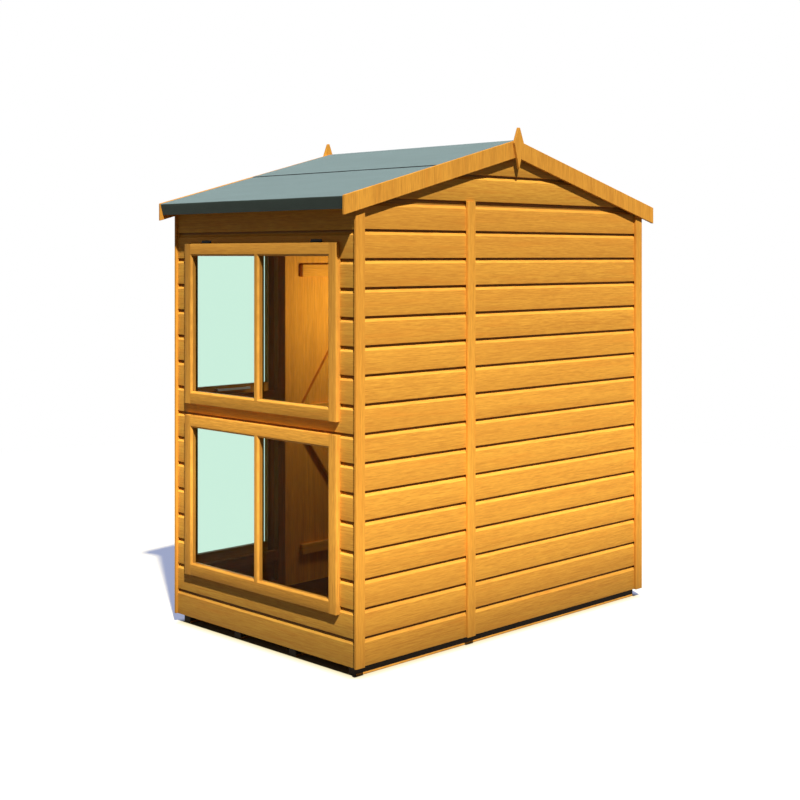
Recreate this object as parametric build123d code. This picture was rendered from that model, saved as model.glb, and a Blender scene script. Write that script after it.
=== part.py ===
from build123d import *
import math
import os

# Apex garden shed in millimetres. Origin: middle of the base, on the ground. +Z up.
# +X is the right-hand side seen from the door, -Y is the front with the door, and the ridge runs along Y.

# Overall walls, measured over the wall boards
WALL_WIDTH = 1828.0
WALL_DEPTH = 1157.0
PLATE_HEIGHT = 1841.0
EAVES_RISE = 10.0
ROOF_PITCH = 14.92

# Base
BEARER_HEIGHT = 44.0
BEARER_WIDTH = 44.0
BEARER_COUNT = 4
BEARER_SET_BACK = 20.0
FLOOR_THICKNESS = 12.0
BOARD_DROP = 18.0

# Wall boards and framing
BOARD = 12.0
FRAME_DEPTH = 32.0
FRAME_FACE = 44.0
SEAT = 0.3

# Cover strips
STRIP_WIDTH = 47.0
STRIP_THICKNESS = 12.0
CORNER_LAP = 10.0
BACK_JOINT_X = 272.0
WIDE_PANEL_STUDS = 3
NARROW_PANEL_STUDS = 2

# Roof
DECK = 10.0
FELT = 2.5
EAVES_OVERHANG = 83.0
GABLE_OVERHANG = 12.0
FELT_SKIRT = 50.0
BATTEN_THICKNESS = 18.0
BATTEN_HEIGHT = 35.0
LOWER_FELT_WIDTH = 950.0
RIDGE_FELT_WIDTH = 1000.0
GABLE_STEP = 2.0
BARGE_WIDTH = 72.5
BARGE_THICKNESS = 12.0
FINIAL_THICKNESS = 12.0
FINIAL_TIP_RISE = 52.0
FINIAL_TIP_WIDTH = 9.0
FINIAL_SHOULDER_DROP = 15.0
FINIAL_SHOULDER_WIDTH = 62.0
FINIAL_POINT_DROP = 127.0

# Windows: one above the other, in the two side walls and on both sides of the door
SASH_THICKNESS = 32.0
SASH_RAIL = 53.0
SASH_MOULDING = 8.0
SASH_CLEARANCE = 1.0
SASH_LAP = 13.0
LOWER_WINDOW_BOTTOM = 229.0
WINDOW_SPACING = 52.0
WINDOW_BELOW_PLATE = 174.0
SIDE_WINDOW_WIDTH = 988.0
SIDE_WINDOW_CENTRE = -8.0
SIDE_STILE = 50.0
GLAZING_BAR = 32.0
FRONT_WINDOW_WIDTH = 505.0
FRONT_STILE = 41.0
FRONT_WINDOW_CENTRE = 624.5
GLASS = 3.0
GLASS_FROM_FACE = 23.5

# Doorway and door
DOORWAY_HALF_WIDTH = 335.0
DOOR_WIDTH = 690.0
DOOR_BELOW_PLATE = 136.0
DOOR_DROP = 13.0
DOOR_BOARD = 12.0
DOOR_CLEARANCE = 6.0
LEDGE_FROM_LATCH_EDGE = 132.0
LEDGE_LENGTH = 480.0
LEDGE_THICKNESS = 20.0
TOP_LEDGE_FROM_TOP = 131.0
TOP_LEDGE_WIDTH = 60.0
MIDDLE_LEDGE_BOTTOM = 785.0
MIDDLE_LEDGE_WIDTH = 120.0
BOTTOM_LEDGE_BOTTOM = 190.0
BOTTOM_LEDGE_WIDTH = 50.0
BRACE_WIDTH = 40.0
UPPER_BRACE_HEAD_INSET = 54.0
LOWER_BRACE_FOOT_INSET = 93.0

# Ironwork
HINGE_METAL = 2.5
KNUCKLE_RADIUS = 4.0
KNUCKLE_GAP = 0.4
PIN_RADIUS = 2.0
PIN_CLEARANCE = 0.3
STRAP_LENGTH = 300.0
STRAP_ROOT = 34.0
STRAP_END = 18.0
STRAP_EYE_RADIUS = 13.0
FLAP_WIDTH = 16.0
FLAP_HEIGHT = 100.0
FLAP_KNUCKLE = 20.0
HANDLE_LENGTH = 130.0
HANDLE_RADIUS = 5.0
HANDLE_STANDOFF = 14.0
HANDLE_HEIGHT = 845.0
HANDLE_FROM_EDGE = 45.0
BUTTON_LENGTH = 62.0
BUTTON_WIDTH = 15.0
BUTTON_THICKNESS = 9.0
BUTTON_HEIGHT = 1030.0
STAY_LENGTH = 184.0
STAY_WIDTH = 10.0
STAY_METAL = 3.0
STAY_ABOVE_SILL = 18.0
STAY_BRACKET = 16.0
WINDOW_HINGE_LENGTH = 65.0
WINDOW_HINGE_PLATE = 12.0
WINDOW_HINGE_FROM_END = 135.0
WINDOW_KNUCKLE_RADIUS = 3.0

# Worked out from the sizes above
SLOPE = math.tan(math.radians(ROOF_PITCH))
PLUMB = 1.0 / math.cos(math.radians(ROOF_PITCH))
HALF_WIDTH = WALL_WIDTH / 2
HALF_DEPTH = WALL_DEPTH / 2
INNER_X = HALF_WIDTH - BOARD
INNER_Y = HALF_DEPTH - BOARD
FRAME_X = INNER_X - FRAME_DEPTH
FRAME_Y = INNER_Y - FRAME_DEPTH
FLOOR_TOP = BEARER_HEIGHT + FLOOR_THICKNESS
BOARDS_BOTTOM = FLOOR_TOP - BOARD_DROP
EAVES_HEIGHT = PLATE_HEIGHT + EAVES_RISE
ROOF_HALF = HALF_WIDTH + EAVES_OVERHANG
GABLE_FACE = HALF_DEPTH + GABLE_STEP
ROOF_END = GABLE_FACE + GABLE_OVERHANG
BARGE_FACE = ROOF_END + BARGE_THICKNESS
ROOF_THICKNESS = DECK + 2 * FELT
UPPER_WINDOW_TOP = PLATE_HEIGHT - WINDOW_BELOW_PLATE
WINDOW_HEIGHT = (UPPER_WINDOW_TOP - WINDOW_SPACING - LOWER_WINDOW_BOTTOM) / 2
UPPER_WINDOW_BOTTOM = UPPER_WINDOW_TOP - WINDOW_HEIGHT
LOWER_WINDOW_TOP = LOWER_WINDOW_BOTTOM + WINDOW_HEIGHT
WINDOW_BOTTOMS = (LOWER_WINDOW_BOTTOM, UPPER_WINDOW_BOTTOM)
DOOR_BACK = -(INNER_Y + DOOR_CLEARANCE)
DOOR_FACE = DOOR_BACK - DOOR_BOARD
DOOR_BOTTOM = FLOOR_TOP - DOOR_DROP
DOOR_TOP = PLATE_HEIGHT - DOOR_BELOW_PLATE
DOOR_REVEAL = DOOR_WIDTH / 2 + DOOR_CLEARANCE
DOORWAY_HEAD = DOOR_TOP + DOOR_CLEARANCE
HINGE_X = -(DOOR_WIDTH + DOOR_CLEARANCE) / 2
HINGE_Y = DOOR_FACE - KNUCKLE_RADIUS
TOP_LEDGE_TOP = DOOR_TOP - TOP_LEDGE_FROM_TOP
TOP_LEDGE = (TOP_LEDGE_TOP - TOP_LEDGE_WIDTH, TOP_LEDGE_TOP)
MIDDLE_LEDGE = (MIDDLE_LEDGE_BOTTOM, MIDDLE_LEDGE_BOTTOM + MIDDLE_LEDGE_WIDTH)
BOTTOM_LEDGE = (BOTTOM_LEDGE_BOTTOM, BOTTOM_LEDGE_BOTTOM + BOTTOM_LEDGE_WIDTH)
LEDGES = (TOP_LEDGE, MIDDLE_LEDGE, BOTTOM_LEDGE)
LEDGE_NEAR = DOOR_WIDTH / 2 - LEDGE_FROM_LATCH_EDGE
LEDGE_FAR = LEDGE_NEAR - LEDGE_LENGTH
HINGE_HEIGHTS = [(low + high) / 2 for low, high in LEDGES]


def under_deck(x):
    """Height of the roof boards' lower face above the ground, x from the ridge."""
    return EAVES_HEIGHT + (HALF_WIDTH - abs(x)) * SLOPE


def above_deck(x, cover):
    """Height of a surface lying cover above the roof boards' lower face."""
    return under_deck(x) + cover * PLUMB


def at_eaves(run, cover):
    """A point (x, z) by the eaves of the +X slope: run from the felt's outer face, down the slope, and cover
    above the roof boards' lower face, square to it."""
    angle = math.radians(ROOF_PITCH)
    below = cover - DECK - FELT
    x = ROOF_HALF + run * math.cos(angle) + below * math.sin(angle)
    z = above_deck(ROOF_HALF, DECK + FELT) - run * math.sin(angle) + below * math.cos(angle)
    return (x, z)


def block(x_span, y_span, z_span):
    """A plain piece of timber, glass or metal between two values along each axis."""
    spans = [sorted(span) for span in (x_span, y_span, z_span)]
    size = [high - low for low, high in spans]
    middle = [(high + low) / 2 for low, high in spans]
    return Pos(*middle) * Box(*size)


def along_y(outline, y_span):
    """A piece with an outline in X and Z, of the length y_span along the ridge."""
    low, high = sorted(y_span)
    wire = Polyline(*[(x, low, z) for x, z in outline], close=True)
    return extrude(make_face(wire), amount=high - low, dir=(0, 1, 0))


def group(pieces):
    """Separate pieces that share one node."""
    solids = [solid for piece in pieces for solid in piece.solids()]
    return Compound(children=solids)


def mirrored_x(piece):
    return mirror(piece, about=Plane.YZ)


def mirrored_y(piece):
    return mirror(piece, about=Plane.XZ)


# Base
def bearers():
    reach = HALF_DEPTH - BEARER_SET_BACK - BEARER_WIDTH / 2
    step = 2 * reach / (BEARER_COUNT - 1)
    half_length = HALF_WIDTH - BEARER_SET_BACK
    rows = [index * step - reach for index in range(BEARER_COUNT)]
    return group([
        block((-half_length, half_length), (y - BEARER_WIDTH / 2, y + BEARER_WIDTH / 2), (0, BEARER_HEIGHT))
        for y in rows
    ])


def floor_boards():
    return block((-INNER_X, INNER_X), (-INNER_Y, INNER_Y), (BEARER_HEIGHT, FLOOR_TOP))


# Side walls, built on the +X side and mirrored
def side_boards():
    outline = [
        (INNER_X, BOARDS_BOTTOM),
        (HALF_WIDTH, BOARDS_BOTTOM),
        (HALF_WIDTH, under_deck(HALF_WIDTH)),
        (INNER_X, under_deck(INNER_X)),
    ]
    wall = along_y(outline, (-HALF_DEPTH, HALF_DEPTH))
    reach = SIDE_WINDOW_WIDTH / 2 + SASH_CLEARANCE
    across = (SIDE_WINDOW_CENTRE - reach, SIDE_WINDOW_CENTRE + reach)
    for bottom in WINDOW_BOTTOMS:
        heights = (bottom - SASH_CLEARANCE, bottom + WINDOW_HEIGHT + SASH_CLEARANCE)
        wall -= block((INNER_X - BOARD, HALF_WIDTH + BOARD), across, heights)
    return wall


def window_rails():
    """Heights of the three rails that carry a pair of windows."""
    sill = LOWER_WINDOW_BOTTOM + SASH_LAP
    head = UPPER_WINDOW_TOP - SASH_LAP
    return (
        (sill - FRAME_FACE, sill),
        (LOWER_WINDOW_TOP - SASH_LAP, UPPER_WINDOW_BOTTOM + SASH_LAP),
        (head, head + FRAME_FACE),
    )


def side_frame():
    depth = (FRAME_X, INNER_X - SEAT)
    stud_outer = FRAME_Y - SEAT
    stud_inner = stud_outer - FRAME_FACE
    top = under_deck(INNER_X) - FRAME_FACE
    pieces = []
    for side in (-1, 1):
        studs = (side * stud_inner, side * stud_outer)
        pieces.append(block(depth, studs, (FLOOR_TOP, top - SEAT)))
    between = (-(stud_inner - SEAT), stud_inner - SEAT)
    pieces.append(block(depth, between, (FLOOR_TOP, FLOOR_TOP + FRAME_FACE)))
    for heights in window_rails():
        pieces.append(block(depth, between, heights))
    top_rail = [
        (FRAME_X, top),
        (INNER_X - SEAT, top),
        (INNER_X - SEAT, under_deck(INNER_X - SEAT)),
        (FRAME_X, under_deck(FRAME_X)),
    ]
    pieces.append(along_y(top_rail, (-stud_outer, stud_outer)))
    return group(pieces)


def sash(width, bottom, stile, bar):
    """A window frame in the plane Y = 0, its back at Y = 0 and its face at Y = -SASH_THICKNESS."""
    depth = (0, -SASH_THICKNESS)
    frame = block((-width / 2, width / 2), depth, (bottom, bottom + WINDOW_HEIGHT))
    through = (SASH_THICKNESS, -2 * SASH_THICKNESS)
    opening = width / 2 - stile
    heights = (bottom + SASH_RAIL, bottom + WINDOW_HEIGHT - SASH_RAIL)
    frame -= block((-opening, opening), through, heights)
    if bar:
        frame += block((-bar / 2, bar / 2), depth, heights)
    face = frame.faces().sort_by(Axis.Y)[0]
    return chamfer(face.inner_wires().edges(), SASH_MOULDING)


def panes(width, bottom, stile, bar):
    """The glass of one window frame, one pane or a pane each side of its bar."""
    opening = width / 2 - stile - SEAT
    front = GLASS_FROM_FACE - SASH_THICKNESS
    depth = (front, front + GLASS)
    heights = (bottom + SASH_RAIL + SEAT, bottom + WINDOW_HEIGHT - SASH_RAIL - SEAT)
    if not bar:
        return [block((-opening, opening), depth, heights)]
    inner = bar / 2 + SEAT
    return [block((side * inner, side * opening), depth, heights) for side in (-1, 1)]


def to_side_wall(piece):
    """From the plane Y = 0, facing -Y, to the outer face of the +X wall's framing."""
    return Pos(INNER_X, SIDE_WINDOW_CENTRE, 0) * Rot(0, 0, 90) * piece


def to_front_wall(piece):
    """From the plane Y = 0, facing -Y, to the front wall right of the door."""
    return Pos(FRONT_WINDOW_CENTRE, -INNER_Y, 0) * piece


def side_window_frames():
    return group([
        to_side_wall(sash(SIDE_WINDOW_WIDTH, bottom, SIDE_STILE, GLAZING_BAR)) for bottom in WINDOW_BOTTOMS
    ])


def side_glass():
    return group([
        to_side_wall(pane)
        for bottom in WINDOW_BOTTOMS
        for pane in panes(SIDE_WINDOW_WIDTH, bottom, SIDE_STILE, GLAZING_BAR)
    ])


# Front wall, the part right of the door, mirrored for the left
def front_boards():
    wall = block((DOOR_REVEAL, INNER_X), (-HALF_DEPTH, -INNER_Y), (BOARDS_BOTTOM, PLATE_HEIGHT))
    reach = FRONT_WINDOW_WIDTH / 2 + SASH_CLEARANCE
    across = (FRONT_WINDOW_CENTRE - reach, FRONT_WINDOW_CENTRE + reach)
    for bottom in WINDOW_BOTTOMS:
        heights = (bottom - SASH_CLEARANCE, bottom + WINDOW_HEIGHT + SASH_CLEARANCE)
        wall -= block(across, (-HALF_DEPTH - BOARD, -INNER_Y + BOARD), heights)
    return wall


def front_frame():
    depth = (-INNER_Y + SEAT, -FRAME_Y)
    top = PLATE_HEIGHT - FRAME_FACE
    post = (DOORWAY_HALF_WIDTH, DOORWAY_HALF_WIDTH + FRAME_FACE)
    corner = (INNER_X - SEAT - FRAME_FACE, INNER_X - SEAT)
    between = (post[1] + SEAT, corner[0] - SEAT)
    pieces = [block(studs, depth, (FLOOR_TOP, top - SEAT)) for studs in (post, corner)]
    pieces.append(block(between, depth, (FLOOR_TOP, FLOOR_TOP + FRAME_FACE)))
    for heights in window_rails():
        pieces.append(block(between, depth, heights))
    pieces.append(block((post[0], corner[1]), depth, (top, PLATE_HEIGHT - SEAT)))
    return group(pieces)


def front_window_frames():
    return group([
        to_front_wall(sash(FRONT_WINDOW_WIDTH, bottom, FRONT_STILE, 0)) for bottom in WINDOW_BOTTOMS
    ])


def front_glass():
    return group([
        to_front_wall(pane)
        for bottom in WINDOW_BOTTOMS
        for pane in panes(FRONT_WINDOW_WIDTH, bottom, FRONT_STILE, 0)
    ])


def door_head_boards():
    reach = DOOR_REVEAL - SEAT
    return block((-reach, reach), (-HALF_DEPTH, -INNER_Y), (DOORWAY_HEAD, PLATE_HEIGHT))


def door_head_frame():
    depth = (-INNER_Y + SEAT, -FRAME_Y)
    reach = DOORWAY_HALF_WIDTH - SEAT
    return group([
        block((-reach, reach), depth, (DOORWAY_HEAD, DOORWAY_HEAD + FRAME_FACE)),
        block((-reach, reach), depth, (PLATE_HEIGHT - FRAME_FACE, PLATE_HEIGHT - SEAT)),
    ])


# Back wall: a wide and a narrow panel that meet under a cover strip
def back_boards(x_span):
    return block(x_span, (INNER_Y, HALF_DEPTH), (BOARDS_BOTTOM, PLATE_HEIGHT))


def back_frame(x_span, stud_count):
    depth = (FRAME_Y, INNER_Y - SEAT)
    low, high = x_span
    top = PLATE_HEIGHT - FRAME_FACE
    step = (high - low - FRAME_FACE) / (stud_count - 1)
    pieces = []
    for index in range(stud_count):
        left = low + index * step
        pieces.append(block((left, left + FRAME_FACE), depth, (FLOOR_TOP, top - SEAT)))
        if index < stud_count - 1:
            bay = (left + FRAME_FACE + SEAT, left + step - SEAT)
            middle = (FLOOR_TOP + top) / 2
            pieces.append(block(bay, depth, (FLOOR_TOP, FLOOR_TOP + FRAME_FACE)))
            pieces.append(block(bay, depth, (middle - FRAME_FACE / 2, middle + FRAME_FACE / 2)))
    pieces.append(block((low, high), depth, (top, PLATE_HEIGHT - SEAT)))
    return group(pieces)


# Cover strips
def corner_strip(face):
    """The strip at the +X corner of the wall whose boards lie at Y = face, sign kept."""
    outer = HALF_WIDTH + CORNER_LAP
    out = math.copysign(STRIP_THICKNESS, face)
    return block((outer - STRIP_WIDTH, outer), (face, face + out), (BOARDS_BOTTOM, PLATE_HEIGHT - SEAT))


def corner_strips(face):
    strip = corner_strip(face)
    return group([strip, mirrored_x(strip)])


def back_cover_strip():
    across = (BACK_JOINT_X - STRIP_WIDTH / 2, BACK_JOINT_X + STRIP_WIDTH / 2)
    heights = (BOARDS_BOTTOM, PLATE_HEIGHT - SEAT)
    return block(across, (HALF_DEPTH, HALF_DEPTH + STRIP_THICKNESS), heights)


# Gables, built at the back and mirrored for the front
def gable_boards():
    outline = [
        (-INNER_X, PLATE_HEIGHT),
        (INNER_X, PLATE_HEIGHT),
        (INNER_X, under_deck(INNER_X)),
        (0, under_deck(0)),
        (-INNER_X, under_deck(INNER_X)),
    ]
    return along_y(outline, (GABLE_FACE - BOARD, GABLE_FACE))


def gable_frame():
    depth = (FRAME_Y + GABLE_STEP, INNER_Y + GABLE_STEP - SEAT)
    end = INNER_X - SEAT
    tie_top = PLATE_HEIGHT + FRAME_FACE
    crossing = HALF_WIDTH - (tie_top - EAVES_HEIGHT) / SLOPE
    tie = [
        (-end, PLATE_HEIGHT),
        (end, PLATE_HEIGHT),
        (end, under_deck(end)),
        (crossing, tie_top),
        (-crossing, tie_top),
        (-end, under_deck(end)),
    ]
    rafter_drop = FRAME_FACE * PLUMB
    foot = tie_top + SEAT
    lower = HALF_WIDTH - (foot + rafter_drop - EAVES_HEIGHT) / SLOPE
    upper = HALF_WIDTH - (foot - EAVES_HEIGHT) / SLOPE
    rafter = [
        (lower, foot),
        (upper, foot),
        (SEAT, under_deck(SEAT)),
        (SEAT, under_deck(SEAT) - rafter_drop),
    ]
    rafter_piece = along_y(rafter, depth)
    return group([along_y(tie, depth), rafter_piece, mirrored_x(rafter_piece)])


# Roof
def roof_deck():
    """The roof boards of the +X slope, cut square at the eaves."""
    outline = [
        (SEAT / 2, under_deck(SEAT / 2)),
        at_eaves(-FELT, 0),
        at_eaves(-FELT, DECK),
        (SEAT / 2, above_deck(SEAT / 2, DECK)),
    ]
    return along_y(outline, (-ROOF_END, ROOF_END))


def eaves_battens():
    inner = -FELT - BATTEN_THICKNESS
    outline = [
        at_eaves(inner, 0),
        at_eaves(-FELT, 0),
        at_eaves(-FELT, -BATTEN_HEIGHT),
        at_eaves(inner, -BATTEN_HEIGHT),
    ]
    batten = along_y(outline, (-ROOF_END, ROOF_END))
    return group([batten, mirrored_x(batten)])


def lower_felt():
    """The felt of the +X slope: up under the ridge sheet, and folded down over the eaves batten."""
    upper = -FELT - LOWER_FELT_WIDTH
    top = DECK + FELT
    outline = [
        at_eaves(upper, DECK),
        at_eaves(-FELT, DECK),
        at_eaves(-FELT, top - FELT_SKIRT),
        at_eaves(0, top - FELT_SKIRT),
        at_eaves(0, top),
        at_eaves(upper, top),
    ]
    return along_y(outline, (-ROOF_END, ROOF_END))


def ridge_felt():
    reach = RIDGE_FELT_WIDTH / 2 / PLUMB
    low = DECK + FELT
    high = DECK + 2 * FELT
    outline = [
        (-reach, above_deck(reach, low)),
        (0, above_deck(0, low)),
        (reach, above_deck(reach, low)),
        (reach, above_deck(reach, high)),
        (0, above_deck(0, high)),
        (-reach, above_deck(reach, high)),
    ]
    return along_y(outline, (-ROOF_END, ROOF_END))


def bargeboards():
    """The pair on the roof's back end, with plumb-cut ends that meet under the finial."""
    lower = ROOF_THICKNESS - BARGE_WIDTH
    outline = [
        (SEAT / 2, above_deck(SEAT / 2, lower)),
        (ROOF_HALF, above_deck(ROOF_HALF, lower)),
        (ROOF_HALF, above_deck(ROOF_HALF, ROOF_THICKNESS)),
        (SEAT / 2, above_deck(SEAT / 2, ROOF_THICKNESS)),
    ]
    board = along_y(outline, (ROOF_END, BARGE_FACE))
    return group([board, mirrored_x(board)])


def finial():
    """The kite-shaped board over the meeting of the back bargeboards."""
    apex = above_deck(0, ROOF_THICKNESS)
    shoulder = apex - FINIAL_SHOULDER_DROP
    outline = [
        (FINIAL_TIP_WIDTH / 2, apex + FINIAL_TIP_RISE),
        (-FINIAL_TIP_WIDTH / 2, apex + FINIAL_TIP_RISE),
        (-FINIAL_SHOULDER_WIDTH / 2, shoulder),
        (0, apex - FINIAL_POINT_DROP),
        (FINIAL_SHOULDER_WIDTH / 2, shoulder),
    ]
    return along_y(outline, (BARGE_FACE, BARGE_FACE + FINIAL_THICKNESS))


# Door
def door_boards():
    half = DOOR_WIDTH / 2
    return block((-half, half), (DOOR_FACE, DOOR_BACK), (DOOR_BOTTOM, DOOR_TOP))


def brace(foot, head):
    """A brace whose edge nearest the latch runs between two points (x, z), cut level at both ends."""
    run = head[0] - foot[0]
    rise = head[1] - foot[1]
    level_width = BRACE_WIDTH * math.hypot(run, rise) / rise
    outline = [foot, (foot[0] - level_width, foot[1]), (head[0] - level_width, head[1]), head]
    return along_y(outline, (DOOR_BACK, DOOR_BACK + LEDGE_THICKNESS))


def door_bracing():
    """Three ledges across the boards and two braces that spread from the middle one."""
    depth = (DOOR_BACK, DOOR_BACK + LEDGE_THICKNESS)
    pieces = [block((LEDGE_FAR, LEDGE_NEAR), depth, heights) for heights in LEDGES]
    upper_foot = (LEDGE_NEAR, MIDDLE_LEDGE[1] + SEAT)
    upper_head = (LEDGE_FAR + UPPER_BRACE_HEAD_INSET, TOP_LEDGE[0] - SEAT)
    lower_foot = (LEDGE_FAR + LOWER_BRACE_FOOT_INSET, BOTTOM_LEDGE[1] + SEAT)
    lower_head = (LEDGE_NEAR, MIDDLE_LEDGE[0] - SEAT)
    pieces.append(brace(upper_foot, upper_head))
    pieces.append(brace(lower_foot, lower_head))
    return group(pieces)


def strap_hinge(height):
    """A tapered strap with a rounded end on the door's face, and the middle knuckle at its root."""
    low = height - STRAP_ROOT / 2
    tip = HINGE_X + STRAP_LENGTH
    outline = [
        (HINGE_X, low),
        (tip, height - STRAP_END / 2),
        (tip, height + STRAP_END / 2),
        (HINGE_X, height + STRAP_ROOT / 2),
    ]
    depth = (DOOR_FACE - HINGE_METAL, DOOR_FACE)
    eye = Pos(tip, DOOR_FACE - HINGE_METAL / 2, height) * Rot(90, 0, 0)
    strap = along_y(outline, depth) + eye * Cylinder(STRAP_EYE_RADIUS, HINGE_METAL)
    at_pin = Pos(HINGE_X, HINGE_Y, height)
    strap += at_pin * Cylinder(KNUCKLE_RADIUS, STRAP_ROOT)
    return strap - at_pin * Cylinder(PIN_RADIUS + PIN_CLEARANCE, 2 * STRAP_ROOT)


def door_hinge_straps():
    return group([strap_hinge(height) for height in HINGE_HEIGHTS])


def door_handle():
    x = DOOR_WIDTH / 2 - HANDLE_FROM_EDGE
    half = HANDLE_LENGTH / 2
    grip = Pos(x, DOOR_FACE - HANDLE_STANDOFF, HANDLE_HEIGHT) * Cylinder(HANDLE_RADIUS, HANDLE_LENGTH)
    for side in (-1, 1):
        z = HANDLE_HEIGHT + side * (half - HANDLE_RADIUS)
        post = Rot(90, 0, 0) * Cylinder(HANDLE_RADIUS, HANDLE_STANDOFF)
        grip += Pos(x, DOOR_FACE - HANDLE_STANDOFF / 2, z) * post
    return grip


# Ironwork on the walls
def hinge_flap(height):
    """The plate of one door hinge on the wall, cranked out to its two knuckles and the pin."""
    plate_edge = -DOOR_REVEAL - DOOR_CLEARANCE / 2
    half = FLAP_HEIGHT / 2
    heights = (height - half, height + half)
    wall_face = -HALF_DEPTH
    flap = block((plate_edge - FLAP_WIDTH, plate_edge), (wall_face - HINGE_METAL, wall_face), heights)
    offset = (STRAP_ROOT + FLAP_KNUCKLE) / 2 + KNUCKLE_GAP
    for side in (-1, 1):
        z = height + side * offset
        span = (z - FLAP_KNUCKLE / 2, z + FLAP_KNUCKLE / 2)
        flap += Pos(HINGE_X, HINGE_Y, z) * Cylinder(KNUCKLE_RADIUS, FLAP_KNUCKLE)
        flap += block((plate_edge - HINGE_METAL, plate_edge), (HINGE_Y, wall_face), span)
        flap += block((plate_edge - HINGE_METAL, HINGE_X), (HINGE_Y - KNUCKLE_RADIUS, HINGE_Y), span)
    pin_length = STRAP_ROOT + 2 * (FLAP_KNUCKLE + KNUCKLE_GAP)
    return flap + Pos(HINGE_X, HINGE_Y, height) * Cylinder(PIN_RADIUS, pin_length)


def door_hinge_flaps():
    return group([hinge_flap(height) for height in HINGE_HEIGHTS])


def turn_button():
    near = DOOR_REVEAL + SEAT
    half = BUTTON_LENGTH / 2
    depth = (-HALF_DEPTH - BUTTON_THICKNESS, -HALF_DEPTH)
    heights = (BUTTON_HEIGHT - half, BUTTON_HEIGHT + half)
    return block((near, near + BUTTON_WIDTH), depth, heights)


def window_hinges(width):
    """Two plates above an upper window in the plane Y = 0, knuckles against the frame's top edge."""
    pieces = []
    half = WINDOW_HINGE_LENGTH / 2
    board_face = -BOARD
    bottom = UPPER_WINDOW_TOP + SASH_CLEARANCE + KNUCKLE_GAP
    for side in (-1, 1):
        x = side * (width / 2 - WINDOW_HINGE_FROM_END)
        heights = (bottom, bottom + WINDOW_HINGE_PLATE)
        plate = block((x - half, x + half), (board_face - HINGE_METAL, board_face), heights)
        barrel = Rot(0, 90, 0) * Cylinder(WINDOW_KNUCKLE_RADIUS, WINDOW_HINGE_LENGTH)
        plate += Pos(x, board_face - WINDOW_KNUCKLE_RADIUS, bottom + WINDOW_KNUCKLE_RADIUS) * barrel
        pieces.append(plate)
    return pieces


def window_stays(width):
    """The stay bar inside an upper window in the plane Y = 0, on a bracket at each end."""
    low = UPPER_WINDOW_BOTTOM + SASH_LAP + STAY_ABOVE_SILL
    heights = (low, low + STAY_WIDTH)
    half = STAY_LENGTH / 2
    bar = block((-half, half), (STAY_BRACKET, STAY_BRACKET + STAY_METAL), heights)
    for side in (-1, 1):
        foot = (side * half, side * (half - STAY_WIDTH))
        bar += block(foot, (SEAT, STAY_BRACKET), heights)
    return [bar]


def window_ironwork(build):
    """Pieces of the four upper windows, from a function that takes the window's width."""
    right = [to_side_wall(piece) for piece in build(SIDE_WINDOW_WIDTH)]
    front = [to_front_wall(piece) for piece in build(FRONT_WINDOW_WIDTH)]
    pieces = right + front
    return group(pieces + [mirrored_x(piece) for piece in pieces])


NODES = {
    "bearers": bearers(),
    "floor": floor_boards(),
    "right_wall_boards": side_boards(),
    "right_wall_frame": side_frame(),
    "right_window_frames": side_window_frames(),
    "right_window_glass": side_glass(),
    "left_wall_boards": mirrored_x(side_boards()),
    "left_wall_frame": mirrored_x(side_frame()),
    "left_window_frames": mirrored_x(side_window_frames()),
    "left_window_glass": mirrored_x(side_glass()),
    "back_wall_wide_boards": back_boards((-INNER_X, BACK_JOINT_X)),
    "back_wall_wide_frame": back_frame((-INNER_X + SEAT, BACK_JOINT_X - SEAT), WIDE_PANEL_STUDS),
    "back_wall_narrow_boards": back_boards((BACK_JOINT_X, INNER_X)),
    "back_wall_narrow_frame": back_frame((BACK_JOINT_X, INNER_X - SEAT), NARROW_PANEL_STUDS),
    "back_cover_strip": back_cover_strip(),
    "back_corner_strips": corner_strips(HALF_DEPTH),
    "front_corner_strips": corner_strips(-HALF_DEPTH),
    "front_right_wall_boards": front_boards(),
    "front_right_wall_frame": front_frame(),
    "front_right_window_frames": front_window_frames(),
    "front_right_window_glass": front_glass(),
    "front_left_wall_boards": mirrored_x(front_boards()),
    "front_left_wall_frame": mirrored_x(front_frame()),
    "front_left_window_frames": mirrored_x(front_window_frames()),
    "front_left_window_glass": mirrored_x(front_glass()),
    "door_head_boards": door_head_boards(),
    "door_head_frame": door_head_frame(),
    "back_gable_boards": gable_boards(),
    "back_gable_frame": gable_frame(),
    "front_gable_boards": mirrored_y(gable_boards()),
    "front_gable_frame": mirrored_y(gable_frame()),
    "right_roof_deck": roof_deck(),
    "left_roof_deck": mirrored_x(roof_deck()),
    "eaves_battens": eaves_battens(),
    "right_lower_felt": lower_felt(),
    "left_lower_felt": mirrored_x(lower_felt()),
    "ridge_felt": ridge_felt(),
    "back_bargeboards": bargeboards(),
    "front_bargeboards": mirrored_y(bargeboards()),
    "back_finial": finial(),
    "front_finial": mirrored_y(finial()),
    "door_boards": door_boards(),
    "door_bracing": door_bracing(),
    "door_hinge_straps": door_hinge_straps(),
    "door_handle": door_handle(),
    "door_hinge_flaps": door_hinge_flaps(),
    "turn_button": turn_button(),
    "window_hinges": window_ironwork(window_hinges),
    "window_stays": window_ironwork(window_stays),
}

os.makedirs("parts", exist_ok=True)
for name, piece in NODES.items():
    export_step(piece, f"parts/{name}.step")
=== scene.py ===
import math

import bmesh
import bpy
import numpy as np
from bpy.props import FloatProperty, FloatVectorProperty, IntProperty, PointerProperty
from mathutils import Matrix, Vector


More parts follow.
